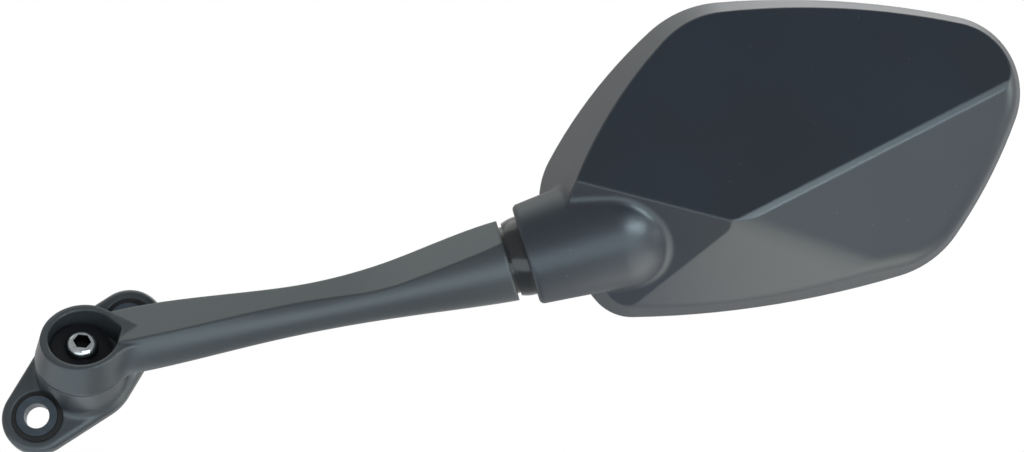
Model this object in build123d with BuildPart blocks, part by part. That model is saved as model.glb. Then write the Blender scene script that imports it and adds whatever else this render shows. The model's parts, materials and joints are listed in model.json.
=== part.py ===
from build123d import *
import math
import os

os.makedirs("parts", exist_ok=True)

# Left-hand fairing mirror of a motorcycle, in millimetres.
# +X points outboard, -Y points forward, +Z is up. The origin is the centre of the mounting
# face, midway between the two bolt holes, and the glass looks along +Y.

# Clearances
running_gap = 0.1
slip_gap = 0.05
seam_gap = 0.35
washer_gap = 0.05

# Mounting base
mount_tilt = 15.0
bolt_spacing = 43.0
bolt_line_angle = 47.5
plate_thickness = 4.8
plate_end_radius = 12.0
plate_middle_radius = 17.0
plate_edge_radius = 2.0
boss_height = 12.0
boss_collar = 3.0
boss_foot_radius = 17.5
boss_blend_radius = 3.0

# Rubber-mounted bolt holes
collar_bore_radius = 4.2
collar_wall = 1.4
collar_flange_radius = 6.8
collar_flange_thickness = 1.0
grommet_wall = 1.5
grommet_flange_radius = 8.3
grommet_flange_thickness = 1.6
grommet_recess_depth = 1.2

# Folding pivot between base and arm
pivot_rise = 40.0
pivot_lean = 9.0
knuckle_foot_radius = 15.0
knuckle_top_radius = 13.4
knuckle_height = 12.4
knuckle_tilt = 8.5
knuckle_allowance = 8.0
knuckle_tip = (14.0, 2.6)
knuckle_tip_radius = 6.0
knuckle_blend_radius = 8.0
knuckle_blend_step = 0.5
knuckle_blend_tries = 20
recess_floor = 5.3
recess_radius = 10.6
recess_draft = 7.0
recess_tip = (9.4, 3.4)
recess_tip_radius = 1.8
recess_height = 20.0
pivot_shank_radius = 3.0
pivot_bore_gap = 0.1
pivot_web = 3.2
friction_washer_radius = 9.0
friction_washer_thickness = 1.0
pivot_washer_radius = 9.8
pivot_washer_thickness = 1.4
screw_head_radius = 5.6
screw_head_edge = 0.5
screw_head_top_radius = 3.5
screw_head_height = 3.4
screw_head_crown = 0.5
screw_hex = 5.2
screw_hex_depth = 2.4
screw_tip_chamfer = 0.6
spring_disc_radius = 6.4
spring_disc_thickness = 0.5
spring_disc_cone = 0.3
spring_disc_count = 2
pivot_nut_width = 10.0
pivot_nut_height = 4.6
pivot_screw_stick_out = 0.8
pocket_radius = 7.2

# Arm: centreline points (x, z) with the section's height and depth
arm_front = 16.4
arm_root = (2.0, 8.4)
arm_root_size = (20.0, 15.0)
arm_shank = (45.9, 17.2)
arm_shank_size = (19.6, 15.6)
arm_waist = (92.0, 25.8)
arm_waist_size = (17.0, 16.4)
arm_flare = (118.0, 32.3)
arm_flare_size = (22.4, 22.0)
arm_end_radius = 13.6
facet_start = (-10.0, 8.1)
facet_bend = (100.0, 29.9)
facet_end = (160.0, 58.7)
facet_bend_radius = 80.0
facet_depth = 6.6
facet_rise = 40.0
facet_reach = 40.0

# Ball swivel between arm and head
swivel_centre = (146.9, -16.4, 40.0)
swivel_rise = 16.8
ball_radius = 13.3
ball_shoulder = 5.07
ball_groove = 1.1
ball_groove_depth = 1.0
ball_spigot_radius = 7.0
ball_spigot_length = 10.0
stud_radius = 2.9
stud_root = 12.0
stud_tip_chamfer = 0.5
liner_thickness = 1.2
liner_edge = 1.0
dome_thickness = 2.5
dome_hole_radius = 6.7
cup_thickness = 2.2
cup_half_angle = 37.0
cup_seat_radius = 7.6
cup_seat_height = 1.2
spring_height = 8.6
spring_wire_radius = 0.8
spring_coil_radius = 5.6
spring_turns = 3.5
swivel_washer_radius = 7.2
swivel_washer_thickness = 1.2
swivel_nut_width = 10.0
swivel_nut_height = 5.0
stud_stick_out = 1.2

# Head shell: outline corners (x, z) on the rim plane, bulge of the side that follows, radius
rim_plane_y = 6.6
outline_corners = [
    ((147.0, 54.9), 0.6, 28.0),
    ((175.4, 19.0), 4.6, 16.0),
    ((284.0, 37.0), 5.2, 35.0),
    ((318.6, 113.4), 6.5, 26.0),
    ((198.3, 123.5), 5.7, 38.0),
]
least_corner_radius = 3.0
wall = 2.4
wall_draft = 14.0
form_allowance = 40.0
form_reach = 220.0
roof_thickness = 2.8
crest_corner = (215.2, 50.8)
crest_height = 43.2
crest_angle = 26.9
crest_fall_right = 13.7
crest_fall_left = 22.1
crest_bend_radius = 20.0
upper_fall = 16.4
crease_angle = 17.8
crease_fall = 24.6
cheek_lean = 11.4
cheek_rise = 36.8
roll_radius = 9.0
ridge_bevel = 0.4
facet_edge_radius = 0.8
neck_radius = 16.8
neck_draft = 5.5
neck_cone_length = 30.5
neck_nose_radius = 18.0
neck_rim_radius = 1.8
neck_blend_radius = 3.5
neck_bore_radius = 15.2
neck_bore_end = 36.0
dome_gap = 1.0

# Reflecting side
glass_thickness = 2.0
glass_radius = 1300.0
glass_gap = 1.6
glass_proud = 0.8
glass_centre = (232.0, 72.0)
foam_thickness = 0.8
foam_inset = 6.0
holder_thickness = 2.2
holder_inset = 13.0
holder_screw_places = [(212.0, 96.0), (279.0, 88.0), (236.0, 47.0)]
holder_boss_radius = 4.2
holder_screw_radius = 1.5
holder_screw_head_radius = 2.8
holder_screw_length = 8.0
holder_boss_root = 1.0
holder_boss_gap = 0.2
holder_screw_sink = 0.2
glass_recess_depth = 4.3


def sin_deg(angle):
    return math.sin(math.radians(angle))


def cos_deg(angle):
    return math.cos(math.radians(angle))


def tan_deg(angle):
    return math.tan(math.radians(angle))


# Shared planes and axes
mount_normal = Vector(0, -cos_deg(mount_tilt), sin_deg(mount_tilt))
mount_plane = Plane(origin=(0, 0, 0), x_dir=(1, 0, 0), z_dir=mount_normal)
pivot_dir = Vector(
    sin_deg(pivot_lean),
    -cos_deg(pivot_lean) * cos_deg(pivot_rise),
    cos_deg(pivot_lean) * sin_deg(pivot_rise),
)
seam_centre = mount_normal * boss_height + pivot_dir * boss_collar
across = Vector(1, 0, 0) - pivot_dir * pivot_dir.X
seam_plane = Plane(origin=seam_centre, x_dir=across, z_dir=pivot_dir)
pivot_section = Plane(origin=seam_centre, x_dir=across, z_dir=across.cross(pivot_dir))
pivot_axis = Axis(seam_centre, pivot_dir)

swivel_dir = Vector(cos_deg(swivel_rise), 0, sin_deg(swivel_rise))
swivel_section = Plane(origin=swivel_centre, x_dir=swivel_dir, z_dir=(0, -1, 0))
swivel_axis = Axis(swivel_centre, swivel_dir)
ball_foot = ball_shoulder + ball_groove

rim_plane = Plane.XZ.offset(-rim_plane_y)
forward = Vector(0, -1, 0)
crest_dir = Vector(cos_deg(crest_angle), 0, sin_deg(crest_angle))
crest_up = Vector(-sin_deg(crest_angle), 0, cos_deg(crest_angle))


def swivel_plane(along):
    """Plane square to the swivel axis, a distance along it from the ball's centre."""
    return Plane(
        origin=Vector(*swivel_centre) + swivel_dir * along, x_dir=(0, 1, 0), z_dir=swivel_dir
    )


# Base
end_offset = bolt_spacing / 2
end_places = [
    (side * end_offset * cos_deg(bolt_line_angle), side * end_offset * sin_deg(bolt_line_angle))
    for side in (-1, 1)
]
grommet_bore_radius = collar_bore_radius + collar_wall
grommet_radius = grommet_bore_radius + grommet_wall
collar_seat = plate_thickness - grommet_recess_depth + grommet_flange_thickness

with BuildPart() as base:
    with BuildSketch(mount_plane):
        with Locations(*end_places):
            Circle(plate_end_radius)
        Circle(plate_middle_radius)
        make_hull()
    extrude(amount=plate_thickness)
    fillet(base.faces().sort_by(Axis((0, 0, 0), mount_normal))[-1].edges(), plate_edge_radius)
    with BuildSketch(mount_plane.offset(plate_thickness / 2)):
        Circle(boss_foot_radius - plate_edge_radius)
    with BuildSketch(seam_plane):
        Circle(knuckle_foot_radius)
    loft()
    fillet(base.edges(Select.NEW), boss_blend_radius)
    with BuildSketch(mount_plane):
        with Locations(*end_places):
            Circle(grommet_radius + slip_gap)
    extrude(amount=plate_thickness, mode=Mode.SUBTRACT)
    with BuildSketch(mount_plane.offset(plate_thickness - grommet_recess_depth)):
        with Locations(*end_places):
            Circle(grommet_flange_radius + slip_gap)
    extrude(amount=boss_height, mode=Mode.SUBTRACT)
    with BuildSketch(seam_plane.offset(seam_gap - washer_gap - friction_washer_thickness)):
        Circle(friction_washer_radius + slip_gap)
    extrude(amount=friction_washer_thickness, mode=Mode.SUBTRACT)
    with BuildSketch(seam_plane):
        Circle(pivot_shank_radius + pivot_bore_gap)
    extrude(amount=-2 * boss_height, mode=Mode.SUBTRACT)
    with BuildSketch(seam_plane.offset(-pivot_web)):
        Circle(pocket_radius)
    extrude(amount=-2 * boss_height, mode=Mode.SUBTRACT)
base.part.label = "base"
export_step(base.part, "parts/base.step")


def make_grommet(place):
    """Rubber bush with a top flange, in the plate's stepped hole."""
    with BuildPart() as grommet:
        with BuildSketch(mount_plane):
            with Locations(place):
                Circle(grommet_radius)
        extrude(amount=collar_seat)
        with BuildSketch(mount_plane.offset(plate_thickness - grommet_recess_depth)):
            with Locations(place):
                Circle(grommet_flange_radius)
        extrude(amount=grommet_flange_thickness)
        with BuildSketch(mount_plane):
            with Locations(place):
                Circle(grommet_bore_radius + slip_gap)
        extrude(amount=collar_seat, mode=Mode.SUBTRACT)
    return grommet.part


def make_collar(place):
    """Flanged steel sleeve that the mounting bolt clamps."""
    with BuildPart() as collar:
        with BuildSketch(mount_plane):
            with Locations(place):
                Circle(grommet_bore_radius)
        extrude(amount=collar_seat + collar_flange_thickness)
        with BuildSketch(mount_plane.offset(collar_seat)):
            with Locations(place):
                Circle(collar_flange_radius)
        extrude(amount=collar_flange_thickness)
        with BuildSketch(mount_plane):
            with Locations(place):
                Circle(collar_bore_radius)
        extrude(amount=collar_seat + collar_flange_thickness, mode=Mode.SUBTRACT)
    return collar.part


for place, name in zip(end_places, ("lower", "upper")):
    grommet_part = make_grommet(place)
    grommet_part.label = "grommet_" + name
    export_step(grommet_part, "parts/grommet_" + name + ".step")
    collar_part = make_collar(place)
    collar_part.label = "collar_" + name
    export_step(collar_part, "parts/collar_" + name + ".step")

# Pivot hardware, stacked along the pivot axis
with BuildPart() as friction_washer:
    with BuildSketch(seam_plane.offset(seam_gap - washer_gap - friction_washer_thickness)):
        Circle(friction_washer_radius)
        Circle(pivot_shank_radius + pivot_bore_gap, mode=Mode.SUBTRACT)
    extrude(amount=friction_washer_thickness)
friction_washer.part.label = "friction_washer"
export_step(friction_washer.part, "parts/friction_washer.step")

washer_level = recess_floor + washer_gap
head_level = washer_level + pivot_washer_thickness
head_top = head_level + screw_head_height
with BuildPart() as pivot_washer:
    with BuildSketch(seam_plane.offset(washer_level)):
        Circle(pivot_washer_radius)
        Circle(pivot_shank_radius + pivot_bore_gap, mode=Mode.SUBTRACT)
    extrude(amount=pivot_washer_thickness)
pivot_washer.part.label = "pivot_washer"
export_step(pivot_washer.part, "parts/pivot_washer.step")

spring_stack = spring_disc_count * (spring_disc_thickness + spring_disc_cone)
nut_level = -pivot_web - spring_stack
screw_tip = nut_level - pivot_nut_height - pivot_screw_stick_out
with BuildPart() as pivot_screw:
    with BuildSketch(pivot_section):
        with BuildLine():
            Polyline(
                (0, head_top),
                (0, screw_tip),
                (pivot_shank_radius - screw_tip_chamfer, screw_tip),
                (pivot_shank_radius, screw_tip + screw_tip_chamfer),
                (pivot_shank_radius, head_level),
                (screw_head_radius, head_level),
                (screw_head_radius, head_level + screw_head_edge),
            )
            crown_start = (screw_head_radius, head_level + screw_head_edge)
            SagittaArc(crown_start, (screw_head_top_radius, head_top), -screw_head_crown)
            Line((screw_head_top_radius, head_top), (0, head_top))
        make_face()
    revolve(axis=pivot_axis)
    with BuildSketch(seam_plane.offset(head_top)):
        RegularPolygon(screw_hex / 2, 6, major_radius=False)
    extrude(amount=-screw_hex_depth, mode=Mode.SUBTRACT)
pivot_screw.part.label = "pivot_screw"
export_step(pivot_screw.part, "parts/pivot_screw.step")

with BuildPart() as disc_springs:
    for index in range(spring_disc_count):
        level = -pivot_web - index * (spring_disc_thickness + spring_disc_cone)
        inner = pivot_shank_radius + pivot_bore_gap
        inner_drop = spring_disc_cone * (index % 2)
        outer_drop = spring_disc_cone - inner_drop
        with BuildSketch(pivot_section):
            Polygon(
                (inner, level - inner_drop),
                (spring_disc_radius, level - outer_drop),
                (spring_disc_radius, level - outer_drop - spring_disc_thickness),
                (inner, level - inner_drop - spring_disc_thickness),
                align=None,
            )
        revolve(axis=pivot_axis)
disc_springs.part.label = "disc_springs"
export_step(disc_springs.part, "parts/disc_springs.step")

with BuildPart() as pivot_nut:
    with BuildSketch(seam_plane.offset(nut_level)):
        RegularPolygon(pivot_nut_width / 2, 6, major_radius=False)
        Circle(pivot_shank_radius + slip_gap, mode=Mode.SUBTRACT)
    extrude(amount=-pivot_nut_height)
pivot_nut.part.label = "pivot_nut"
export_step(pivot_nut.part, "parts/pivot_nut.step")


# Arm
def arm_section(place, rise):
    """Plane square to the arm's centreline at a point of it."""
    x, z = place
    return Plane(
        origin=(x, -arm_front, z), x_dir=(0, 1, 0), z_dir=(cos_deg(rise), 0, sin_deg(rise))
    )


def rise_between(start, end):
    """Angle of the line between two points of the centreline."""
    return math.degrees(math.atan2(end[1] - start[1], end[0] - start[0]))


arm_end = Vector(*swivel_centre) - swivel_dir * ball_foot
facet_dir = Vector(0, cos_deg(facet_rise), sin_deg(facet_rise))
crease_place = Vector(0, -arm_front - facet_depth, 0)
facet_plane = Plane(origin=crease_place - facet_dir * facet_reach, x_dir=(1, 0, 0), z_dir=forward)

def knuckle_section(level):
    """Drop-shaped section of the knuckle, a height above its foot."""
    shrink = (knuckle_foot_radius - knuckle_top_radius) * level / knuckle_height
    with BuildSketch(Plane.XY.offset(level)) as section:
        Circle(knuckle_foot_radius - shrink)
        with Locations(knuckle_tip):
            Circle(knuckle_tip_radius - shrink)
        make_hull()
    return section.sketch


with BuildPart() as knuckle:
    add(knuckle_section(0))
    add(knuckle_section(knuckle_height + knuckle_allowance))
    loft(ruled=True)
    lip = Plane(origin=(0, 0, knuckle_height - seam_gap), z_dir=(-tan_deg(knuckle_tilt), 0, 1))
    split(bisect_by=lip, keep=Keep.BOTTOM)

with BuildPart() as recess:
    with BuildSketch():
        Circle(recess_radius)
        with Locations(recess_tip):
            Circle(recess_tip_radius)
        make_hull()
    extrude(amount=recess_height, taper=-recess_draft)

with BuildPart() as arm:
    with BuildSketch(arm_section(arm_root, rise_between(arm_root, arm_shank))):
        Ellipse(arm_root_size[1] / 2, arm_root_size[0] / 2)
    with BuildSketch(arm_section(arm_shank, rise_between(arm_root, arm_waist))):
        Ellipse(arm_shank_size[1] / 2, arm_shank_size[0] / 2)
    with BuildSketch(arm_section(arm_waist, rise_between(arm_shank, arm_flare))):
        Ellipse(arm_waist_size[1] / 2, arm_waist_size[0] / 2)
    with BuildSketch(arm_section(arm_flare, swivel_rise)):
        Ellipse(arm_flare_size[1] / 2, arm_flare_size[0] / 2)
    with BuildSketch(swivel_plane(-ball_foot)):
        Circle(arm_end_radius)
    loft()
    with BuildSketch(facet_plane):
        with BuildLine():
            FilletPolyline(facet_start, facet_bend, facet_end, radius=facet_bend_radius)
            facet_top = facet_end[1] + facet_reach
            Polyline(facet_end, (facet_end[0], facet_top), (facet_start[0], facet_top), facet_start)
        make_face()
    extrude(amount=2 * facet_reach, dir=facet_dir, mode=Mode.SUBTRACT)
    split(bisect_by=seam_plane.offset(seam_gap), keep=Keep.TOP)
    add(knuckle.part.moved(seam_plane.offset(seam_gap).location))
    knuckle_edge = arm.edges(Select.NEW).sort_by(SortBy.LENGTH)[-1]
    widest_blend = arm.part.max_fillet([knuckle_edge], knuckle_blend_step, knuckle_blend_tries)
    fillet(knuckle_edge, min(knuckle_blend_radius, widest_blend))
    add(recess.part.moved(seam_plane.offset(recess_floor).location), mode=Mode.SUBTRACT)
    with BuildSketch(seam_plane):
        Circle(pivot_shank_radius + pivot_bore_gap)
    extrude(amount=knuckle_height, mode=Mode.SUBTRACT)
    with BuildSketch(swivel_plane(-ball_foot)):
        Circle(ball_spigot_radius + slip_gap)
    extrude(amount=-ball_spigot_length, mode=Mode.SUBTRACT)
arm.part.label = "arm"
export_step(arm.part, "parts/arm.step")

# Ball swivel, turned about the swivel axis
groove_radius = math.sqrt(ball_radius**2 - ball_shoulder**2) - ball_groove_depth
with BuildPart() as swivel_ball:
    with BuildSketch(swivel_section):
        Circle(ball_radius)
        with Locations((-ball_shoulder - ball_radius, 0)):
            Rectangle(2 * ball_radius, 2 * ball_radius, mode=Mode.SUBTRACT)
        with Locations((-ball_foot, 0)):
            Rectangle(ball_groove, groove_radius, align=(Align.MIN, Align.MIN))
        with Locations((-ball_foot - ball_spigot_length, 0)):
            Rectangle(ball_spigot_length, ball_spigot_radius, align=(Align.MIN, Align.MIN))
        with Locations((0, -ball_radius)):
            Rectangle(4 * ball_radius, 2 * ball_radius, mode=Mode.SUBTRACT)
        with Locations((-stud_root, 0)):
            Rectangle(
                2 * ball_radius + stud_root,
                stud_radius + slip_gap,
                align=(Align.MIN, Align.MIN),
                mode=Mode.SUBTRACT,
            )
    revolve(axis=swivel_axis)
swivel_ball.part.label = "swivel_ball"
export_step(swivel_ball.part, "parts/swivel_ball.step")

liner_inner = ball_radius + running_gap
liner_outer = liner_inner + liner_thickness
dome_inner = liner_outer + running_gap
dome_outer = dome_inner + dome_thickness
cup_inner = dome_outer + running_gap
cup_outer = cup_inner + cup_thickness
cup_top = cup_outer + cup_seat_height
spring_top = cup_top + spring_height
swivel_nut_level = spring_top + swivel_washer_thickness
stud_tip = swivel_nut_level + swivel_nut_height + stud_stick_out

with BuildPart() as ball_stud:
    with BuildSketch(swivel_plane(-stud_root)):
        Circle(stud_radius)
    extrude(amount=stud_root + stud_tip)
    chamfer(ball_stud.faces().sort_by(swivel_axis)[-1].edges(), stud_tip_chamfer)
ball_stud.part.label = "ball_stud"
export_step(ball_stud.part, "parts/ball_stud.step")

with BuildPart() as ball_liner:
    with BuildSketch(swivel_section):
        Circle(liner_outer)
        Circle(liner_inner, mode=Mode.SUBTRACT)
        with Locations((liner_edge, 0)):
            Rectangle(
                2 * liner_outer, 4 * liner_outer, align=(Align.MAX, Align.CENTER), mode=Mode.SUBTRACT
            )
        with Locations((0, dome_hole_radius)):
            Rectangle(
                4 * liner_outer, 4 * liner_outer, align=(Align.CENTER, Align.MAX), mode=Mode.SUBTRACT
            )
    revolve(axis=swivel_axis)
ball_liner.part.label = "ball_liner"
export_step(ball_liner.part, "parts/ball_liner.step")

cup_hole_radius = stud_radius + running_gap
with BuildPart() as pressure_cup:
    with BuildSketch(swivel_section):
        Circle(cup_outer)
        with Locations((0, 0)):
            Rectangle(cup_top, cup_seat_radius, align=(Align.MIN, Align.MIN))
        Circle(cup_inner, mode=Mode.SUBTRACT)
        reach = 2 * cup_outer
        Polygon(
            (0, 0),
            (reach * cos_deg(cup_half_angle), reach * sin_deg(cup_half_angle)),
            (reach * cos_deg(cup_half_angle), 2 * reach),
            (-reach, 2 * reach),
            (-reach, -reach),
            (reach, -reach),
            (reach, cup_hole_radius),
            (0, cup_hole_radius),
            align=None,
            mode=Mode.SUBTRACT,
        )
    revolve(axis=swivel_axis)
pressure_cup.part.label = "pressure_cup"
export_step(pressure_cup.part, "parts/pressure_cup.step")

with BuildPart() as swivel_spring:
    spring_run = spring_height - 2 * (spring_wire_radius + slip_gap)
    spring_start = swivel_plane(cup_top + slip_gap + spring_wire_radius)
    with BuildLine() as spring_path:
        Helix(
            pitch=spring_run / spring_turns,
            height=spring_run,
            radius=spring_coil_radius,
            center=spring_start.origin,
            direction=swivel_dir,
        )
    with BuildSketch(Plane(spring_path.line @ 0, z_dir=spring_path.line % 0)):
        Circle(spring_wire_radius)
    sweep(is_frenet=True)
swivel_spring.part.label = "swivel_spring"
export_step(swivel_spring.part, "parts/swivel_spring.step")

with BuildPart() as swivel_washer:
    with BuildSketch(swivel_plane(spring_top)):
        Circle(swivel_washer_radius)
        Circle(stud_radius + slip_gap, mode=Mode.SUBTRACT)
    extrude(amount=swivel_washer_thickness)
swivel_washer.part.label = "swivel_washer"
export_step(swivel_washer.part, "parts/swivel_washer.step")

with BuildPart() as swivel_nut:
    with BuildSketch(swivel_plane(swivel_nut_level)):
        RegularPolygon(swivel_nut_width / 2, 6, major_radius=False)
        Circle(stud_radius + slip_gap, mode=Mode.SUBTRACT)
    extrude(amount=swivel_nut_height)
swivel_nut.part.label = "swivel_nut"
export_step(swivel_nut.part, "parts/swivel_nut.step")


# Head shell
def side_circle(start, end, bulge):
    """Centre and radius of the circle whose arc is one bulged side of the outline."""
    chord = Vector(*end) - Vector(*start)
    radius = (chord.length**2 / 4 + bulge**2) / (2 * bulge)
    inward = Vector(-chord.Y, chord.X).normalized()
    return (Vector(*start) + Vector(*end)) / 2 + inward * (radius - bulge), radius


def head_outline(inset):
    """Rim outline, moved in by inset: where the side circles overlap, with rounded corners."""
    with BuildSketch() as outline:
        for index, (start, bulge, corner_radius) in enumerate(outline_corners):
            end = outline_corners[(index + 1) % len(outline_corners)][0]
            centre, radius = side_circle(start, end, bulge)
            with Locations(centre):
                Circle(radius - inset, mode=Mode.INTERSECT if index else Mode.ADD)
        for corner, bulge, corner_radius in outline_corners:
            vertex = outline.vertices().sort_by_distance((*corner, 0))[0]
            fillet(vertex, max(corner_radius - inset, least_corner_radius))
    return outline.sketch


def drafted_block(inset, height):
    """Block on the rim plane whose walls lean in by the draft."""
    with BuildPart() as block:
        with BuildSketch():
            add(head_outline(inset))
        extrude(amount=height, taper=wall_draft)
    return block.part.moved(rim_plane.location)


def above_lower_side(drop):
    """Everything in front of the lower side, which the bent crest line sweeps along its crease."""
    top = crest_height - drop
    right = (form_reach, top - form_reach * tan_deg(crest_fall_right))
    left = (-form_reach, top - form_reach * tan_deg(crest_fall_left))
    slant = crease_dir - forward * tan_deg(crease_fall)
    start = crest_foot - slant * form_reach
    with BuildPart() as above:
        with BuildSketch(Plane(origin=start, x_dir=crest_dir, z_dir=crest_dir.cross(forward))):
            with BuildLine():
                FilletPolyline(left, (0, top), right, radius=crest_bend_radius)
                Polyline(right, (form_reach, 2 * form_reach), (-form_reach, 2 * form_reach), left)
            make_face()
        extrude(amount=2 * form_reach * slant.length, dir=slant)
    return above.part


def crest_plane(drop, fall):
    """Plane through the right-hand crest line, lowered by drop, that falls away upwards."""
    return Plane(
        origin=crest_foot + forward * (crest_height - drop),
        x_dir=crest_dir - forward * tan_deg(crest_fall_right),
        z_dir=forward + crest_dir * tan_deg(crest_fall_right) + crest_up * tan_deg(fall),
    )


def cheek_plane(drop):
    """Plane through the end of the crest that falls away towards the neck and downwards."""
    return Plane(
        origin=crest_foot + forward * (crest_height - drop),
        z_dir=forward - Vector(tan_deg(cheek_lean), 0, tan_deg(cheek_rise)),
    )


def on_walls(edge, part):
    """Whether an edge borders one of the drafted walls."""
    return any(edge.is_same(other) for other in part.faces().filter_by(GeomType.CONE).edges())


form_height = crest_height + form_allowance
crest_foot = Vector(crest_corner[0], rim_plane_y, crest_corner[1])
crease_dir = Vector(cos_deg(crease_angle), 0, -sin_deg(crease_angle))

with BuildPart() as head_cavity:
    add(drafted_block(wall, form_height))
    add(above_lower_side(roof_thickness), mode=Mode.SUBTRACT)
    split(bisect_by=cheek_plane(roof_thickness), keep=Keep.BOTTOM)
    split(bisect_by=crest_plane(roof_thickness, upper_fall), keep=Keep.BOTTOM)
    split(bisect_by=swivel_plane(dome_outer + dome_gap), keep=Keep.TOP)
    add(drafted_block(wall, glass_recess_depth))
    with BuildSketch(swivel_section):
        with BuildLine():
            dome_edge = math.degrees(math.asin(neck_bore_radius / dome_outer))
            dome = CenterArc((0, 0), dome_outer, 0, dome_edge)
            Polyline(dome @ 1, (neck_bore_end, neck_bore_radius), (neck_bore_end, 0), dome @ 0)
        make_face()
    revolve(axis=swivel_axis)

glass_back = glass_radius - glass_thickness - slip_gap
foam_back = glass_back - foam_thickness - slip_gap
holder_back = foam_back - holder_thickness
glass_focus = Vector(glass_centre[0], rim_plane_y + glass_proud - glass_radius, glass_centre[1])


def depth_of(radius, place):
    """Depth in front of the rim plane of a glass-side sphere at a place on the outline."""
    away = math.hypot(place[0] - glass_centre[0], place[1] - glass_centre[1])
    return rim_plane_y - glass_focus.Y - math.sqrt(radius**2 - away**2)


with BuildPart() as holder_bosses:
    for place in holder_screw_places:
        with BuildSketch(rim_plane.offset(depth_of(holder_back, place) + holder_boss_gap)):
            with Locations(place):
                Circle(holder_boss_radius)
        extrude(amount=form_height)
    add(above_lower_side(holder_boss_root), mode=Mode.SUBTRACT)
    split(bisect_by=cheek_plane(holder_boss_root), keep=Keep.BOTTOM)
    split(bisect_by=crest_plane(holder_boss_root, upper_fall), keep=Keep.BOTTOM)

with BuildPart() as head_shell:
    add(drafted_block(0, form_height))
    add(above_lower_side(0), mode=Mode.SUBTRACT)
    roof = head_shell.faces().filter_by(GeomType.CONE, reverse=True).sort_by(Axis.Y)[:-1]
    roof_edges = roof.edges().filter_by(lambda e: on_walls(e, head_shell)).sort_by(Axis.Y)
    fillet(roof_edges, roll_radius)
    split(bisect_by=cheek_plane(0), keep=Keep.BOTTOM)
    split(bisect_by=crest_plane(0, upper_fall), keep=Keep.BOTTOM)
    split(bisect_by=crest_plane(ridge_bevel, 0), keep=Keep.BOTTOM)
    upper_facet = head_shell.faces().filter_by(GeomType.PLANE).sort_by(SortBy.AREA)[-2]
    fillet(upper_facet.edges().filter_by(lambda e: on_walls(e, head_shell)), facet_edge_radius)
    neck_top = neck_radius + neck_cone_length * tan_deg(neck_draft)
    with BuildSketch(swivel_section):
        with BuildLine():
            Polyline((0, 0), (0, neck_radius), (neck_cone_length, neck_top))
            nose = JernArc(
                start=(neck_cone_length, neck_top),
                tangent=(cos_deg(neck_draft), sin_deg(neck_draft)),
                radius=neck_nose_radius,
                arc_size=-90 - neck_draft,
            )
            Polyline(nose @ 1, ((nose @ 1).X, 0), (0, 0))
        make_face()
    revolve(axis=swivel_axis)
    fillet(head_shell.edges(Select.NEW), neck_blend_radius)
    rim_edge = head_shell.edges().filter_by(GeomType.CIRCLE).sort_by(swivel_axis)[0]
    fillet(rim_edge, neck_rim_radius)
    add(head_cavity.part, mode=Mode.SUBTRACT)
    with Locations(swivel_centre):
        Sphere(dome_inner, mode=Mode.SUBTRACT)
    with BuildSketch(swivel_plane(0)):
        Circle(dome_hole_radius)
    extrude(amount=neck_bore_end, mode=Mode.SUBTRACT)
    add(holder_bosses.part)
    for place in holder_screw_places:
        with BuildSketch(rim_plane.offset(depth_of(holder_back, place))):
            with Locations(place):
                Circle(holder_screw_radius + slip_gap)
        extrude(amount=holder_screw_length, mode=Mode.SUBTRACT)
head_shell.part.label = "head_shell"
export_step(head_shell.part, "parts/head_shell.step")


# Reflecting side
def glass_layer(inset, front, back):
    """Slice of the outline between two spheres about the glass's focus."""
    reach = max(
        math.hypot(corner[0] - glass_centre[0], corner[1] - glass_centre[1])
        for corner, bulge, corner_radius in outline_corners
    )
    section = Plane(origin=glass_focus, x_dir=(1, 0, 0), z_dir=(0, 0, 1))
    half_angle = math.degrees(math.asin(reach / glass_radius))
    with BuildPart() as layer:
        with BuildSketch(section):
            with BuildLine():
                CenterArc((0, 0), front, 90 - half_angle, half_angle)
                CenterArc((0, 0), back, 90 - half_angle, half_angle)
                Line((0, front), (0, back))
                Line(
                    (front * sin_deg(half_angle), front * cos_deg(half_angle)),
                    (back * sin_deg(half_angle), back * cos_deg(half_angle)),
                )
            make_face()
        revolve(axis=Axis(glass_focus, (0, 1, 0)))
        with BuildSketch(rim_plane.offset(-form_height / 2)):
            add(head_outline(inset))
        extrude(amount=form_height, mode=Mode.INTERSECT)
    return layer.part


with BuildPart() as mirror_glass:
    add(glass_layer(wall + glass_gap, glass_radius, glass_radius - glass_thickness))
mirror_glass.part.label = "mirror_glass"
export_step(mirror_glass.part, "parts/mirror_glass.step")

with BuildPart() as foam_pad:
    add(glass_layer(wall + foam_inset, glass_back, glass_back - foam_thickness))
foam_pad.part.label = "foam_pad"
export_step(foam_pad.part, "parts/foam_pad.step")

head_cone_height = holder_screw_head_radius - holder_screw_radius
with BuildPart() as glass_holder:
    add(glass_layer(wall + holder_inset, foam_back, holder_back))
    for place in holder_screw_places:
        with BuildSketch(rim_plane.offset(depth_of(foam_back, place) - head_cone_height)):
            with Locations(place):
                Circle(holder_screw_radius + slip_gap)
        extrude(amount=form_height, mode=Mode.SUBTRACT)
        with BuildSketch(rim_plane.offset(depth_of(foam_back, place) - head_cone_height)):
            with Locations(place):
                Circle(holder_screw_head_radius + slip_gap)
        extrude(amount=2 * head_cone_height + holder_screw_sink, mode=Mode.SUBTRACT)
glass_holder.part.label = "glass_holder"
export_step(glass_holder.part, "parts/glass_holder.step")

with BuildPart() as holder_screws:
    for place in holder_screw_places:
        head_depth = depth_of(foam_back, place) + holder_screw_sink
        with BuildSketch(rim_plane.offset(head_depth)):
            with Locations(place):
                Circle(holder_screw_head_radius)
        extrude(amount=head_cone_height)
        with BuildSketch(rim_plane.offset(head_depth)):
            with Locations(place):
                Circle(holder_screw_radius)
        extrude(amount=holder_screw_length)
holder_screws.part.label = "holder_screws"
export_step(holder_screws.part, "parts/holder_screws.step")
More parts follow.
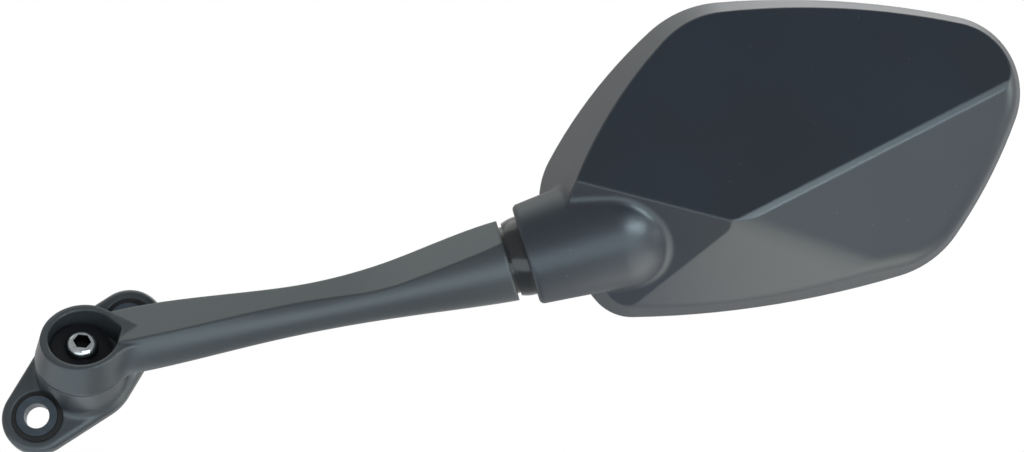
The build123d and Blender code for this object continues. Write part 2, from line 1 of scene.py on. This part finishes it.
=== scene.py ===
# %% [markdown]
# # Dressing a motorcycle mirror
# The mirror comes from its CAD model as a fixed frame: every casting, washer and screw is
# already there at its real size, in metres. Blender adds what CAD leaves out: a finish for
# each surface, soft studio light and a camera that stands where the photographer stood.

import json
import math

import bpy
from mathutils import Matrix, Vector


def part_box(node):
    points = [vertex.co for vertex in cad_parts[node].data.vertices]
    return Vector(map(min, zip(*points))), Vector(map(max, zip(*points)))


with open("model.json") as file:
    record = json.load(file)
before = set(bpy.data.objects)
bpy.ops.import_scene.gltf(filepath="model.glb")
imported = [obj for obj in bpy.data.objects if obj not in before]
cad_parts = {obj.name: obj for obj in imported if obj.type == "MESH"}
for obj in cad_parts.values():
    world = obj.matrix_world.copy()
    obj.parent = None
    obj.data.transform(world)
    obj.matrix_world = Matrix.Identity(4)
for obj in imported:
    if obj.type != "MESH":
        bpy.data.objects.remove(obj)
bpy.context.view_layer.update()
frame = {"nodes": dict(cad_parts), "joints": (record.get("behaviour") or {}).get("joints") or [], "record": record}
nodes = frame["nodes"]

# %% [markdown]
# The camera looks straight along +Y at the mirror's back, from about a metre away. A real
# lens of about 107 mm gives the same mild perspective as the picture: the base, which is
# near the left edge, is seen a little from its inner side. The lens could be longer and the
# camera further off, but then the knuckle's recess would look too flat.

# %% Camera
CAMERA_PLACE = (0.1423, -1.0164, 0.04956)
CAMERA_LENS = 107.1
CAMERA_ROLL = -0.2
SENSOR_WIDTH = 36.0
NEAREST_SEEN = 0.01

camera_data = bpy.data.cameras.new("camera")
camera_data.lens = CAMERA_LENS
camera_data.sensor_fit = "HORIZONTAL"
camera_data.sensor_width = SENSOR_WIDTH
camera_data.clip_start = NEAREST_SEEN
camera = bpy.data.objects.new("camera", camera_data)
camera.location = CAMERA_PLACE
camera.rotation_euler = (math.radians(90), math.radians(CAMERA_ROLL), 0)
bpy.context.collection.objects.link(camera)
bpy.context.scene.camera = camera
print("camera at", tuple(round(v, 3) for v in camera.location), "lens", CAMERA_LENS)

# %% [markdown]
# Shader maths is easier to read as Python than as a web of nodes. This small class wraps one
# output socket: arithmetic on it adds Math nodes, and its node method adds any other node.
# The same could be done by hand in the shader editor, but a formula is quicker to change.

# %% Socket arithmetic


class Socket:
    """An output socket that takes part in Python expressions."""

    def __init__(self, tree, output=None):
        self.tree = tree
        self.output = output

    def node(self, kind, settings=None, inputs=None, output=0):
        """Adds a node, sets its settings first and its sockets second, and wraps an output."""
        made = self.tree.nodes.new(kind)
        for key, value in (settings or {}).items():
            setattr(made, key, value)
        for key, value in (inputs or {}).items():
            if isinstance(value, Socket):
                self.tree.links.new(value.output, made.inputs[key])
            else:
                made.inputs[key].default_value = value
        return Socket(self.tree, made.outputs[output] if len(made.outputs) else None)

    def other(self, name):
        """Another output of the same node."""
        return Socket(self.tree, self.output.node.outputs[name])

    def maths(self, operation, *values):
        """A Math node on these values."""
        return self.node("ShaderNodeMath", {"operation": operation}, dict(enumerate(values)))

    def vector_maths(self, operation, *values, output=0):
        """A Vector Math node on these values."""
        return self.node(
            "ShaderNodeVectorMath", {"operation": operation}, dict(enumerate(values)), output
        )

    def __add__(self, value):
        return self.maths("ADD", self, value)

    def __radd__(self, value):
        return self.maths("ADD", value, self)

    def __sub__(self, value):
        return self.maths("SUBTRACT", self, value)

    def __rsub__(self, value):
        return self.maths("SUBTRACT", value, self)

    def __mul__(self, value):
        return self.maths("MULTIPLY", self, value)

    def __rmul__(self, value):
        return self.maths("MULTIPLY", value, self)

    def __gt__(self, value):
        return self.maths("GREATER_THAN", self, value)

    def __lt__(self, value):
        return self.maths("LESS_THAN", self, value)


print("reflected operators:", [name for name in vars(Socket) if name.startswith("__r")])

# %% [markdown]
# Every finish starts from the same few things: an empty material, the position on the piece
# and the direction it looks in. Both are read in the piece's own space, so a pattern stays on
# the piece when the mirror is folded. World space would be simpler, but patterns would then
# slide over a moving arm.

# %% Starting a finish


def new_material(name):
    """An empty material and its start for socket expressions."""
    material = bpy.data.materials.new(name)
    material.use_nodes = True
    material.node_tree.nodes.clear()
    return material, Socket(material.node_tree)


def surface(start, inputs):
    """Ends a material in a Principled shader."""
    shader = start.node("ShaderNodeBsdfPrincipled", None, inputs)
    start.node("ShaderNodeOutputMaterial", None, {"Surface": shader})


def place(start):
    """Position on the piece, in metres."""
    return start.node("ShaderNodeTexCoord", output="Object")


def facing_glass_side(start):
    """How far a face looks toward +Y, the side of the glass: 1 straight, -1 straight away."""
    normal = start.node("ShaderNodeTexCoord", output="Normal")
    return start.node("ShaderNodeSeparateXYZ", None, {"Vector": normal}, "Y")


print("finishes start from:", place.__doc__)

# %% [markdown]
# Real surfaces are never even. Soft noise at a real size drifts the tone, small round specks
# stand for dust or pores, and a bump turns a height into a tilt of the surface. The bump can
# also soften edges that are too small to model. Painted images could do all this, but noise
# needs no file and stays sharp from any distance.

# %% Patterns for finishes
BEVEL_SAMPLES = 6


def noise(start, size, detail=2.0):
    """Soft noise between 0 and 1 whose blobs are about size metres across."""
    return start.node(
        "ShaderNodeTexNoise",
        {"noise_dimensions": "3D"},
        {"Vector": place(start), "Scale": 1.0 / size, "Detail": detail},
    )


def bump(start, height, depth, edge_radius=0.0):
    """Normal that a height map of this depth in metres gives, with edges rounded if asked."""
    inputs = {"Height": height, "Distance": depth}
    if edge_radius:
        inputs["Normal"] = start.node(
            "ShaderNodeBevel", {"samples": BEVEL_SAMPLES}, {"Radius": edge_radius}
        )
    return start.node("ShaderNodeBump", None, inputs, "Normal")


def blend(start, factor, first, second, kind="RGBA"):
    """Mix of two colours, or of two vectors."""
    return start.node(
        "ShaderNodeMix", {"data_type": kind}, {"Factor": factor, "A": first, "B": second}, "Result"
    )


def specks(start, spacing, radius, share):
    """Mask of small round specks: one in some cells of a Voronoi pattern."""
    cells = start.node(
        "ShaderNodeTexVoronoi",
        {"feature": "F1"},
        {"Vector": place(start), "Scale": 1.0 / spacing},
        "Distance",
    )
    chance = start.node("ShaderNodeSeparateColor", None, {"Color": cells.other("Color")})
    return (cells < radius / spacing) * (chance < share)


print("edges are softened with", BEVEL_SAMPLES, "samples")

# %% [markdown]
# The head is moulded in black plastic whose tool was spark-eroded, which leaves a very fine
# matt grain. The colour leans to blue, the gloss drifts a little over the large faces, and a
# few grey dust specks lie on it. The sides of a moulding are duller than its face, so faces
# that look sideways are rougher. A photograph of such a surface could be mapped on, but noise
# at the real grain size stays sharp from any distance.

# %% Moulded black plastic
SHELL_DARK = (0.0075, 0.0075, 0.0075, 1.0)
SHELL_LIGHT = (0.0080, 0.0100, 0.0170, 1.0)
SHELL_SPECULAR = 0.36
SHELL_EDGE = 0.0012
SHELL_GRAIN = 0.00035
SHELL_GRAIN_DEPTH = 0.000010
SHELL_ROUGH = 0.28
SHELL_ROUGH_GRAIN = 0.04
SHELL_ROUGH_DUST = 0.3
SHELL_ROUGH_SIDE = 0.22
BLACK_SHEEN = (0.84, 0.95, 1.0, 1.0)
DRIFT_SIZE = 0.06
DRIFT_DETAIL = 3.0
ROUGH_DRIFT = 0.08
DUST = (0.07, 0.07, 0.075, 1.0)
DUST_SPACING = 0.004
DUST_RADIUS = 0.00017
DUST_SHARE = 0.30


def moulded_black():
    material, start = new_material("moulded_black")
    drift = noise(start, DRIFT_SIZE, DRIFT_DETAIL)
    grain = noise(start, SHELL_GRAIN)
    dust = specks(start, DUST_SPACING, DUST_RADIUS, DUST_SHARE)
    side = 1.0 - start.maths("ABSOLUTE", facing_glass_side(start))
    plastic = blend(start, drift, SHELL_DARK, SHELL_LIGHT)
    rough = SHELL_ROUGH + ROUGH_DRIFT * drift + SHELL_ROUGH_GRAIN * grain
    surface(
        start,
        {
            "Base Color": blend(start, dust, plastic, DUST),
            "Roughness": rough + SHELL_ROUGH_DUST * dust + SHELL_ROUGH_SIDE * side,
            "Specular IOR Level": SHELL_SPECULAR,
            "Specular Tint": BLACK_SHEEN,
            "Normal": bump(start, grain, SHELL_GRAIN_DEPTH, SHELL_EDGE),
        },
    )
    return material


shell_black = moulded_black()
print("head finish:", shell_black.name)

# %% [markdown]
# The arm and the base are castings with a baked satin-black coat. The coat flows a little
# before it sets, which gives a soft orange peel about a millimetre across, and here and there
# it sinks into a pore of the casting. Peel and pores could be modelled, but they are far
# smaller than the mesh, so both go into one height for the bump.

# %% Coated castings
COAT_DARK = (0.0090, 0.0105, 0.0120, 1.0)
COAT_LIGHT = (0.0140, 0.0158, 0.0175, 1.0)
COAT_SPECULAR = 0.45
COAT_EDGE = 0.0014
COAT_PEEL = 0.0011
COAT_PEEL_DETAIL = 1.0
COAT_DEPTH = 0.000022
COAT_ROUGH = 0.33
COAT_ROUGH_PEEL = 0.05
PORE_SPACING = 0.0032
PORE_RADIUS = 0.00016
PORE_SHARE = 0.50
PORE_SINK = 0.6


def coated_casting():
    material, start = new_material("coated_casting")
    drift = noise(start, DRIFT_SIZE, DRIFT_DETAIL)
    peel = noise(start, COAT_PEEL, COAT_PEEL_DETAIL)
    pores = specks(start, PORE_SPACING, PORE_RADIUS, PORE_SHARE)
    surface(
        start,
        {
            "Base Color": blend(start, drift, COAT_DARK, COAT_LIGHT),
            "Roughness": COAT_ROUGH + ROUGH_DRIFT * drift + COAT_ROUGH_PEEL * peel,
            "Specular IOR Level": COAT_SPECULAR,
            "Specular Tint": BLACK_SHEEN,
            "Normal": bump(start, peel - PORE_SINK * pores, COAT_DEPTH, COAT_EDGE),
        },
    )
    return material


cast_black = coated_casting()
print("casting finish:", cast_black.name)

# %% [markdown]
# A lathe leaves rings round the axis of a turned piece, so the rings need that axis. It could
# be typed in, but the frame knows it already: the pivot screw lies on the folding joint, the
# swivel's nut on the head's own joint, and the collars on the axis of the mounting bolts.

# %% Axes of the turned pieces
SOCKET_LIP = 0.0003


def middle(node):
    """Centre of a node's box."""
    low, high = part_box(node)
    return (low + high) / 2


joints = {joint["name"]: joint for joint in frame["joints"]}
pivot_point = Vector(joints["arm_fold"]["pos_m"])
pivot_axis = Vector(joints["arm_fold"]["axis"])
ball_point = Vector(joints["head_roll"]["pos_m"])
ball_axis = Vector(joints["head_roll"]["axis"])
mount_axis = Vector(frame["record"]["mounts"][0]["axis"])
screw_corners = nodes["pivot_screw"].data.vertices
screw_top = max((corner.co - pivot_point).dot(pivot_axis) for corner in screw_corners)
socket_level = screw_top - SOCKET_LIP
print("screw head top at", round(screw_top * 1000, 2), "mm above the seam")

# %% [markdown]
# The screw, the nuts and the swivel's washer are turned steel plated with zinc, and the collars
# are turned steel that was blackened. The rings are a sine of the distance to the axis; a real
# groove for each would take millions of faces. Stains break the plating. Deep inside the screw's
# socket a painted shade darkens the metal and dulls it, where the hex hole falls into shadow.

# %% Turned steel
ZINC_DARK = (0.07, 0.08, 0.085)
ZINC_LIGHT = (0.42, 0.44, 0.45)
SCREW_ROUGH = 0.14
ZINC_ROUGH = 0.24
COLLAR_DARK = (0.030, 0.038, 0.047)
COLLAR_LIGHT = (0.055, 0.068, 0.082)
COLLAR_ROUGH = 0.30
RING_PITCH = 0.00022
RING_DEPTH = 0.000004
RING_SHARE = 0.3
ROUGH_RINGS = 0.04
STAIN_SIZE = 0.0025
STAIN_SHARE = 0.7
ROUGH_STAIN = 0.10
SOCKET_REACH = 0.0032
# Painted shade for the inside of the screw's hex socket: a near-black tone and extra roughness.
SOCKET_SHADE = (0.010, 0.010, 0.010, 1.0)
ROUGH_SOCKET_SHADE = 0.25


def offset_from(start, point):
    """Position on the piece relative to a point."""
    return start.vector_maths("SUBTRACT", place(start), point)


def axis_distance(start, point, axis):
    """Distance from an axis through a point."""
    across = start.vector_maths("CROSS_PRODUCT", offset_from(start, point), axis)
    return start.vector_maths("LENGTH", across, output="Value")


def along_axis(start, point, axis):
    """Distance along an axis from a point."""
    return start.vector_maths("DOT_PRODUCT", offset_from(start, point), axis, output="Value")


def turned_steel(name, dark, light, rough, point, axis, shade_below=None):
    material, start = new_material(name)
    radius = axis_distance(start, point, axis)
    rings = 0.5 + 0.5 * start.maths("SINE", radius * (math.tau / RING_PITCH))
    stain = noise(start, STAIN_SIZE, DRIFT_DETAIL)
    tone = STAIN_SHARE * stain + RING_SHARE * rings
    colour = blend(start, tone, (*dark, 1.0), (*light, 1.0))
    shine = rough + ROUGH_STAIN * stain + ROUGH_RINGS * rings
    if shade_below is not None:
        # Painted shade: the metal deep in the screw's hex socket is darkened, standing in for the shadow in that
        # hole.
        socket_shade = (radius < SOCKET_REACH) * (along_axis(start, point, axis) < shade_below)
        colour = blend(start, socket_shade, colour, SOCKET_SHADE)
        shine = shine + ROUGH_SOCKET_SHADE * socket_shade
    surface(
        start,
        {
            "Base Color": colour,
            "Metallic": 1.0,
            "Roughness": shine,
            "Normal": bump(start, rings, RING_DEPTH),
        },
    )
    return material


print("rings every", RING_PITCH * 1000, "mm")

# %% [markdown]
# The remaining finishes are small. Each has two close tones that drift into each other, a
# gloss of its own and a fine grain: rubber is dull, black acetal is waxy, the ball is polished,
# foam is rough and open. Each could have its own web of nodes, but one function makes them all
# from those few values.

# %% Small finishes
DRIFT_PER_GRAIN = 4
ROUGH_SMALL_DRIFT = 0.1


def small_finish(
    name, dark, light, rough, metallic=0.0, gloss=0.5, grain=0.0008, depth=0.000008
):
    material, start = new_material(name)
    drift = noise(start, DRIFT_PER_GRAIN * grain, DRIFT_DETAIL)
    surface(
        start,
        {
            "Base Color": blend(start, drift, (*dark, 1.0), (*light, 1.0)),
            "Roughness": rough + ROUGH_SMALL_DRIFT * drift,
            "Metallic": metallic,
            "Specular IOR Level": gloss,
            "Normal": bump(start, noise(start, grain), depth),
        },
    )
    return material


gloss_black = small_finish(
    "gloss_black", (0.003, 0.004, 0.005), (0.006, 0.007, 0.008), 0.14, gloss=0.28
)
washer_black = small_finish(
    "oxide_black", (0.002, 0.002, 0.003), (0.005, 0.005, 0.006), 0.42, gloss=0.12
)
holder_black = small_finish("holder_black", (0.012, 0.012, 0.013), (0.018, 0.018, 0.019), 0.55)
rubber = small_finish(
    "rubber", (0.003, 0.003, 0.003), (0.007, 0.007, 0.007), 0.55, gloss=0.18, grain=0.0005
)
spring_steel = small_finish(
    "spring_steel", (0.22, 0.23, 0.24), (0.30, 0.31, 0.32), 0.30, metallic=1.0
)
acetal = small_finish("acetal", (0.010, 0.010, 0.011), (0.016, 0.016, 0.017), 0.35)
foam = small_finish(
    "foam", (0.012, 0.012, 0.012), (0.022, 0.022, 0.022), 0.80, grain=0.0006, depth=0.0002
)
print("small finishes:", [made.name for made in (gloss_black, washer_black, rubber, acetal, foam)])

# %% [markdown]
# The glass is silvered on its front and has a ground edge. A mirror could be clear glass over a
# silver layer, which renders slowly; here the direction that a face looks in tells the front
# from the edge, and only the front is metal. Faint smears break the polish.
# The glass is slightly convex, a piece of a large sphere. Triangles would make its reflections
# wavy, so the normal is worked out from the centre of that sphere instead.

# %% Mirror glass
SILVER = (0.80, 0.83, 0.85, 1.0)
SILVER_SMEARED = (0.84, 0.87, 0.88, 1.0)
GROUND_EDGE = (0.10, 0.14, 0.13, 1.0)
GLASS_CENTRE = (0.232, 0.072)
GLASS_RADIUS = 1.3
FRONT_LIMIT = 0.7
SMEAR_SIZE = 0.03
SMEAR_DETAIL = 4.0
EDGE_ROUGH = 0.45
POLISH = 0.43
ROUGH_SMEAR = 0.02


def sphere_normal(start, focus):
    """World normal of a sphere round a focus in the piece's own space."""
    outward = start.vector_maths("NORMALIZE", offset_from(start, focus))
    return start.node(
        "ShaderNodeVectorTransform",
        {"vector_type": "NORMAL", "convert_from": "OBJECT", "convert_to": "WORLD"},
        {"Vector": outward},
    )


def silvered_glass():
    material, start = new_material("silvered_glass")
    smear = noise(start, SMEAR_SIZE, SMEAR_DETAIL)
    front = facing_glass_side(start) > FRONT_LIMIT
    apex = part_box("mirror_glass")[1].y
    focus = Vector((GLASS_CENTRE[0], apex - GLASS_RADIUS, GLASS_CENTRE[1]))
    flat = start.node("ShaderNodeNewGeometry", output="Normal")
    silver = blend(start, smear, SILVER, SILVER_SMEARED)
    surface(
        start,
        {
            "Base Color": blend(start, front, GROUND_EDGE, silver),
            "Metallic": front,
            "Roughness": EDGE_ROUGH - POLISH * front + ROUGH_SMEAR * smear,
            "Normal": blend(start, front, flat, sphere_normal(start, focus), "VECTOR"),
        },
    )
    return material


mirror_silver = silvered_glass()
print("glass finish:", mirror_silver.name)

# %% [markdown]
# The record names a material slot for each node, so most finishes are handed out by slot; by
# node would need a longer list. Steel pieces are listed by node, because the rings of a turned
# piece need its own axis.

# %% Hand out the finishes
FINISHES = {
    "shell_black": shell_black,
    "cast_black": cast_black,
    "ball_black": gloss_black,
    "washer_black": washer_black,
    "holder_black": holder_black,
    "rubber": rubber,
    "spring_steel": spring_steel,
    "acetal": acetal,
    "foam": foam,
    "mirror": mirror_silver,
}


def zinc(name, rough, point, axis, shade_below=None):
    """Turned steel with a plating of zinc."""
    return turned_steel(name, ZINC_DARK, ZINC_LIGHT, rough, point, axis, shade_below)


def collar(side):
    """Blackened steel of the lower or the upper collar."""
    centre = middle("collar_" + side)
    return turned_steel(
        "collar_steel_" + side, COLLAR_DARK, COLLAR_LIGHT, COLLAR_ROUGH, centre, mount_axis
    )


STEEL_PIECES = {
    # The screw's finish carries the painted shade of its socket, below socket_level.
    "pivot_screw": zinc("zinc_screw", SCREW_ROUGH, pivot_point, pivot_axis, socket_level),
    "pivot_nut": zinc("zinc_nut", ZINC_ROUGH, pivot_point, pivot_axis),
    "swivel_nut": zinc("zinc_swivel_nut", ZINC_ROUGH, ball_point, ball_axis),
    "swivel_washer": zinc("zinc_swivel_washer", ZINC_ROUGH, ball_point, ball_axis),
    "holder_screws": small_finish("zinc_screws", ZINC_DARK, ZINC_LIGHT, ZINC_ROUGH, metallic=1.0),
    "collar_lower": collar("lower"),
    "collar_upper": collar("upper"),
}

for entry in frame["record"]["subparts"]:
    piece = nodes[entry["node"]]
    piece.data.materials.clear()
    piece.data.materials.append(
        STEEL_PIECES.get(entry["node"]) or FINISHES[entry["material_slot"]]
    )

# %% [markdown]
# The CAD meshes are made of flat triangles. Smooth shading hides them on round faces. Edges
# that turn by more than a few degrees stay sharp, so the moulded creases keep their line. More
# triangles would also hide them, but the CAD meshes are not to be changed.

# %% Smooth shading
CREASE_ANGLE = math.radians(13)

for piece in nodes.values():
    piece.data.polygons.foreach_set("use_smooth", [True] * len(piece.data.polygons))
    piece.data.set_sharp_from_angle(angle=CREASE_ANGLE)
print("faces:", sum(len(piece.data.polygons) for piece in nodes.values()))

# %% [markdown]
# A black object shows its light more than its colour, so each lamp stands where one face of the
# mirror would see it. A wide softbox to the right of the camera draws the pale bands on the
# neck, the arm's front and the ridge, and one at the right side lights the outer rim. One
# overhead lights the arm's top face, and one that stands behind lights the upper rim. A single
# large softbox would be simpler, but it would light every face alike. Nothing bright hangs in
# front and high up, so the large upper face stays dark.

# %% Softboxes
MIDDLE = Vector((0.16, 0.0, 0.05))
COOL = (0.86, 0.95, 1.0)
GREENISH = (0.93, 1.0, 0.95)
WARM = (1.0, 0.95, 0.84)
NEUTRAL = (1.0, 1.0, 1.0)


def area_lamp(name, at, aim, size, power, tint):
    """A rectangle of light, of this size in metres and this power in watts."""
    data = bpy.data.lights.new(name, "AREA")
    data.shape = "RECTANGLE"
    data.size, data.size_y = size
    data.energy = power
    data.color = tint
    lamp = bpy.data.objects.new(name, data)
    lamp.location = at
    lamp.rotation_euler = (Vector(aim) - Vector(at)).to_track_quat("-Z", "Y").to_euler()
    lamp.visible_camera = False
    bpy.context.collection.objects.link(lamp)
    return lamp


softboxes = [
    area_lamp("front_right", (0.95, -1.30, 0.08), MIDDLE, (1.00, 0.42), 26, COOL),
    area_lamp("right_side", (1.30, -0.10, 0.10), MIDDLE, (0.50, 0.50), 6, GREENISH),
    area_lamp("overhead", (-0.25, 0.35, 0.95), MIDDLE, (0.80, 0.60), 2.5, GREENISH),
    area_lamp("behind", (0.55, 0.90, 0.95), MIDDLE, (0.80, 0.60), 6, NEUTRAL),
]
print("softboxes:", [lamp.name for lamp in softboxes])

# %% [markdown]
# White paper under the mirror throws light back up at what looks downward: the lower faces of
# the head, the arm's underside and the knuckle. One lit sheet could do it, but four cards of
# light leave a gap on the table below the neck, so that the cheek beside the neck stays dark.

# %% Cards on the table
FLOOR_LEVEL = -0.19
CARD_LIFT = 0.004
TABLE = FLOOR_LEVEL + CARD_LIFT


def table_card(name, x, y, size, power, tint):
    """A card of light that lies on the table and shines straight up."""
    return area_lamp(name, (x, y, TABLE), (x, y, 0), size, power, tint)


cards = [
    table_card("table_front", 0.00, -0.72, (1.05, 0.96), 11, COOL),
    table_card("table_left", -0.19, -0.05, (0.46, 0.40), 0.75, COOL),
    table_card("table_right", 0.37, -0.05, (0.30, 0.30), 1.1, WARM),
    table_card("table_far_right", 0.80, -0.45, (0.55, 0.60), 0.85, WARM),
]
print("cards:", [lamp.name for lamp in cards])

# %% [markdown]
# The background is white. The world is white to the camera and to reflections, and dimmer as a
# light, so that black stays black. A lit backdrop would also be white, but its light would fall
# on the mirror.

# %% World
WHITE = (1.0, 1.0, 1.0, 1.0)
WORLD_LIGHT = 0.20


def seen_as_background(start):
    """1 for rays that show the background itself: camera, mirror and see-through rays."""
    path = start.node("ShaderNodeLightPath", output="Is Camera Ray")
    seen = path + path.other("Is Glossy Ray") + path.other("Is Transmission Ray")
    return start.maths("MINIMUM", seen, 1.0)


world = bpy.data.worlds.new("studio")
bpy.context.scene.world = world
world.use_nodes = True
world.node_tree.nodes.clear()
sky = Socket(world.node_tree)
brightness = WORLD_LIGHT + (1.0 - WORLD_LIGHT) * seen_as_background(sky)
backdrop = sky.node("ShaderNodeBackground", None, {"Color": WHITE, "Strength": brightness})
sky.node("ShaderNodeOutputWorld", None, {"Surface": backdrop})
print("world light:", WORLD_LIGHT)

# %% [markdown]
# The floor is pale paper that takes the mirror's shadow. Far away it glows to the camera until
# it is as white as the world, so no horizon shows. A curved backdrop would hide the horizon
# too, but only from one side, and this mirror is looked at from all sides.

# %% Floor
FLOOR_SIZE = 14.0
PAPER = (0.9, 0.9, 0.9, 1.0)
NEAR_GLOW = 0.40
FAR_GLOW = 1.0
GLOW_START = 0.4
GLOW_END = 1.2

bpy.ops.mesh.primitive_plane_add(size=FLOOR_SIZE, location=(MIDDLE.x, MIDDLE.y, FLOOR_LEVEL))
floor = bpy.context.object
floor.name = "floor"
paper_material, start = new_material("paper")
reach = start.vector_maths("LENGTH", place(start), output="Value")
far = start.node(
    "ShaderNodeMapRange",
    {"interpolation_type": "SMOOTHSTEP"},
    {
        "Value": reach,
        "From Min": GLOW_START,
        "From Max": GLOW_END,
        "To Min": NEAR_GLOW,
        "To Max": FAR_GLOW,
    },
)
paper = start.node("ShaderNodeBsdfDiffuse", None, {"Color": PAPER})
glow = start.node("ShaderNodeEmission", None, {"Color": WHITE})
share = far * seen_as_background(start)
lit_paper = start.node("ShaderNodeMixShader", None, {0: share, 1: paper, 2: glow})
start.node("ShaderNodeOutputMaterial", None, {"Surface": lit_paper})
floor.data.materials.append(paper_material)
print("floor at", FLOOR_LEVEL, "m")

# %% [markdown]
# White all round makes a black face look grey. Photographers hang a flag, a sheet of dark cloth,
# where the face would mirror the white. This one hangs above the camera for the large upper
# face. Turning the whole world darker would also work, but it would dull the rims as well.

# %% Flag
FLAG_PLACE = (0.50, -0.85, 0.87)
FLAG_AIM = (0.23, 0.0, 0.07)
FLAG_SIZE = 1.1
FLAG_TINT = (0.70, 0.88, 1.0, 1.0)
FLAG_TONE = 0.44

bpy.ops.mesh.primitive_plane_add(size=FLAG_SIZE, location=FLAG_PLACE)
flag = bpy.context.object
flag.name = "flag"
flag.rotation_euler = (Vector(FLAG_AIM) - Vector(FLAG_PLACE)).to_track_quat("Z", "Y").to_euler()
flag.visible_camera = False
flag.visible_diffuse = False
flag.visible_shadow = False
cloth_material, start = new_material("flag_cloth")
cloth = start.node("ShaderNodeEmission", None, {"Color": FLAG_TINT, "Strength": FLAG_TONE})
start.node("ShaderNodeOutputMaterial", None, {"Surface": cloth})
flag.data.materials.append(cloth_material)
print("flag of", FLAG_SIZE, "m above the camera")

# %% [markdown]
# Colours are to come out as they are written. Blender's usual view bends them like film does;
# the Standard view doesn't.

# %% View
bpy.context.scene.view_settings.view_transform = "Standard"
print("view:", bpy.context.scene.view_settings.view_transform)

# %% [markdown]
